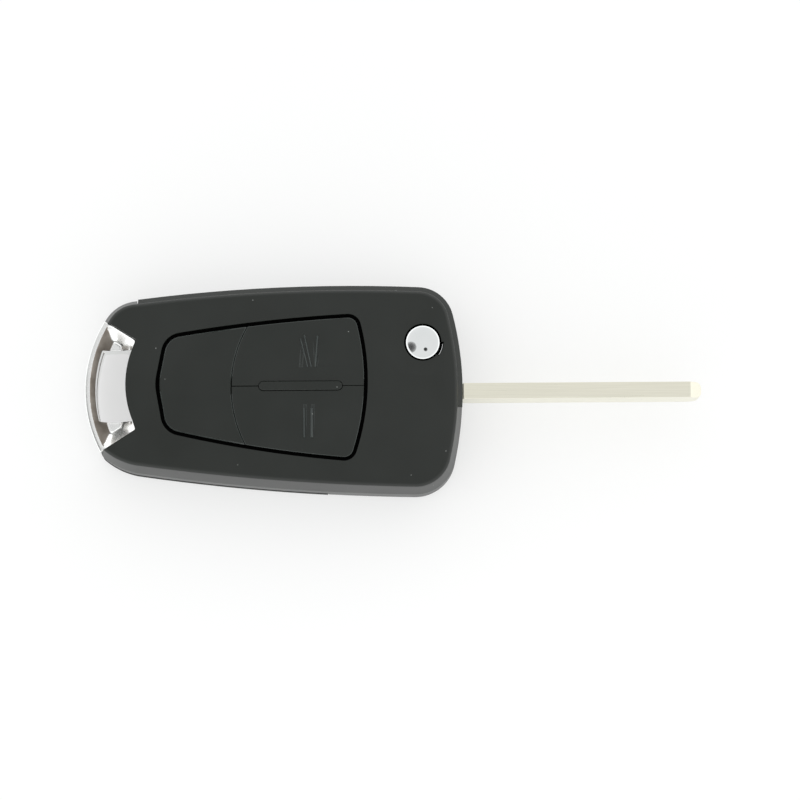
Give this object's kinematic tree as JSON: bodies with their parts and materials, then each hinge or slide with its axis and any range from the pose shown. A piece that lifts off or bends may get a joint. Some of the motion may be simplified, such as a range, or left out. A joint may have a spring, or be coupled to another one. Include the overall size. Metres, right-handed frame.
{
  "type": "flip key remote shell",
  "caption": "Flip key for a car: black moulded case with a button pad, chrome key-ring bow and a plain uncut blade that folds along the case when the release button is pressed.",
  "frame": {"origin": "on the flip hinge axis, at the plane of the flat back", "axes": "+X along the open blade, +Y towards the long edge that takes the folded blade, +Z out of the button face"},
  "size_m": [0.1216, 0.041, 0.0154],
  "materials": {
    "case_plastic": "fine satin texture",
    "pad_plastic": "satin",
    "chrome": "plated, fairly bright",
    "blade_nickel": "nickel, fine brushing",
    "carrier_black": "black coated casting",
    "spring_steel": "bright",
    "board_green": "solder mask",
    "switch_body": "stamped cover",
    "plunger_black": "matt",
    "chip_black": "moulded epoxy",
    "crystal_can": "drawn can",
    "transponder_carbon": "matt",
    "cell_steel": "nickel-plated",
    "contact_brass": "plated spring strip",
    "tray_plastic": "moulded"
  },
  "bodies": {
    "housing": {"front_shell": "case_plastic", "rear_shell": "case_plastic", "battery_cover": "case_plastic", "key_ring_bow": "chrome", "button_pad": "pad_plastic", "board_tray": "tray_plastic", "circuit_board": "board_green", "unlock_switch": "switch_body", "lock_switch": "switch_body", "radio_chip": "chip_black", "crystal": "crystal_can", "transponder": "transponder_carbon", "positive_contact": "contact_brass", "negative_contact": "contact_brass", "coin_cell": "cell_steel"},
    "flip_head": {"blade_carrier": "carrier_black", "blade": "blade_nickel", "roll_pin": "spring_steel", "flip_spring": "spring_steel"},
    "release": {"release_button": "chrome"},
    "unlock_key": {"unlock_button": "pad_plastic"},
    "lock_key": {"lock_button": "pad_plastic"},
    "unlock_plunger_body": {"unlock_plunger": "plunger_black"},
    "lock_plunger_body": {"lock_plunger": "plunger_black"}
  },
  "joints": [
    {"name": "blade_flip", "type": "hinge", "parent": "housing", "child": "flip_head", "pos_m": [0, 0, 0.0078], "axis": [0, 0, 1], "range_deg": [0, 182.5], "stiffness_Nm_per_rad": 0.004, "springref_deg": -57.3},
    {"name": "release_press", "type": "slide", "parent": "flip_head", "child": "release", "axis": [0, 0, -1], "range_m": [0, 0.0016], "stiffness_N_per_m": 1200, "springref_m": -0.0008, "deforming": ["flip_spring"]},
    {"name": "unlock_press", "type": "slide", "parent": "housing", "child": "unlock_key", "axis": [0, 0, -1], "range_m": [0, 0.0005], "stiffness_N_per_m": 1500, "springref_m": -0.0003},
    {"name": "lock_press", "type": "slide", "parent": "housing", "child": "lock_key", "axis": [0, 0, -1], "range_m": [0, 0.0005], "stiffness_N_per_m": 1500, "springref_m": -0.0003},
    {"name": "unlock_plunger_press", "type": "slide", "parent": "housing", "child": "unlock_plunger_body", "axis": [0, 0, -1], "range_m": [0, 0.0005]},
    {"name": "lock_plunger_press", "type": "slide", "parent": "housing", "child": "lock_plunger_body", "axis": [0, 0, -1], "range_m": [0, 0.0005]}
  ],
  "couplings": [
    {"joint": "unlock_plunger_press", "follows": "unlock_press", "ratio": 1},
    {"joint": "lock_plunger_press", "follows": "lock_press", "ratio": 1}
  ]
}
